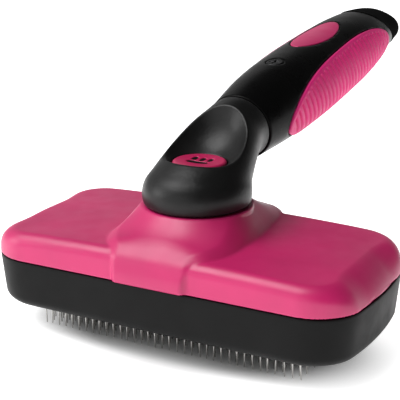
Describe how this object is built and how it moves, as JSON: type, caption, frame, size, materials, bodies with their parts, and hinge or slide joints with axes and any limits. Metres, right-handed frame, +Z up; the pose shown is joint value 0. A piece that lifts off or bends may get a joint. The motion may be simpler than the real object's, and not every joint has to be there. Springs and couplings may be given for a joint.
{
  "type": "slicker brush",
  "caption": "Self-cleaning slicker brush with a wide rectangular head of bent wire pins, a thumb button that pushes a stripper tray down over them, and an angled grip handle.",
  "frame": {"origin": "bottom centre of the bounding box: level with the pin tips, on the left-right symmetry plane, midway between the front of the head and the tail of the handle", "axes": "+X along the head's long side, +Y from the head towards the handle's tail, +Z up from the pin tips to the cover"},
  "size_m": [0.11, 0.1763, 0.0754],
  "materials": {
    "pink_plastic": "satin injection-moulded ABS",
    "soft_pink": "soft matte thermoplastic elastomer",
    "black_plastic": "fine satin texture",
    "soft_black": "soft matte overmould",
    "inner_plastic": "plain moulded",
    "pin_rubber": "matte rubber sheet",
    "pin_steel": "drawn wire",
    "spring_steel": "drawn spring wire",
    "screw_steel": "zinc-plated"
  },
  "bodies": {
    "root": {"base_screw_left_front": "screw_steel", "base_screw_left_rear": "screw_steel", "base_screw_right_front": "screw_steel", "base_screw_right_rear": "screw_steel", "end_cap": "soft_black", "handle_badge": "pink_plastic", "handle_screw": "screw_steel", "handle_sleeve": "black_plastic", "head_cover": "pink_plastic", "neck": "black_plastic", "neck_screw_front": "screw_steel", "neck_screw_rear": "screw_steel", "pin_base_plate": "inner_plastic", "pin_comb_1": "pin_steel", "pin_comb_2": "pin_steel", "pin_comb_3": "pin_steel", "pin_comb_4": "pin_steel", "pin_comb_5": "pin_steel", "pin_comb_6": "pin_steel", "pin_comb_7": "pin_steel", "pin_cushion": "pin_rubber", "return_spring": "spring_steel", "side_grip_left": "soft_pink", "side_grip_right": "soft_pink"},
    "ejector": {"stripper_tray": "black_plastic", "ejector_yoke": "inner_plastic", "plunger": "inner_plastic", "thumb_button": "pink_plastic", "button_mark": "black_plastic", "tray_screw_left": "screw_steel", "tray_screw_right": "screw_steel", "plunger_screw": "screw_steel"}
  },
  "joints": [
    {"name": "button_press", "type": "slide", "parent": "root", "child": "ejector", "axis": [0, 0, -1], "range_m": [0, 0.007], "stiffness_N_per_m": 700, "springref_m": -0.0045, "deforming": ["return_spring"]}
  ]
}
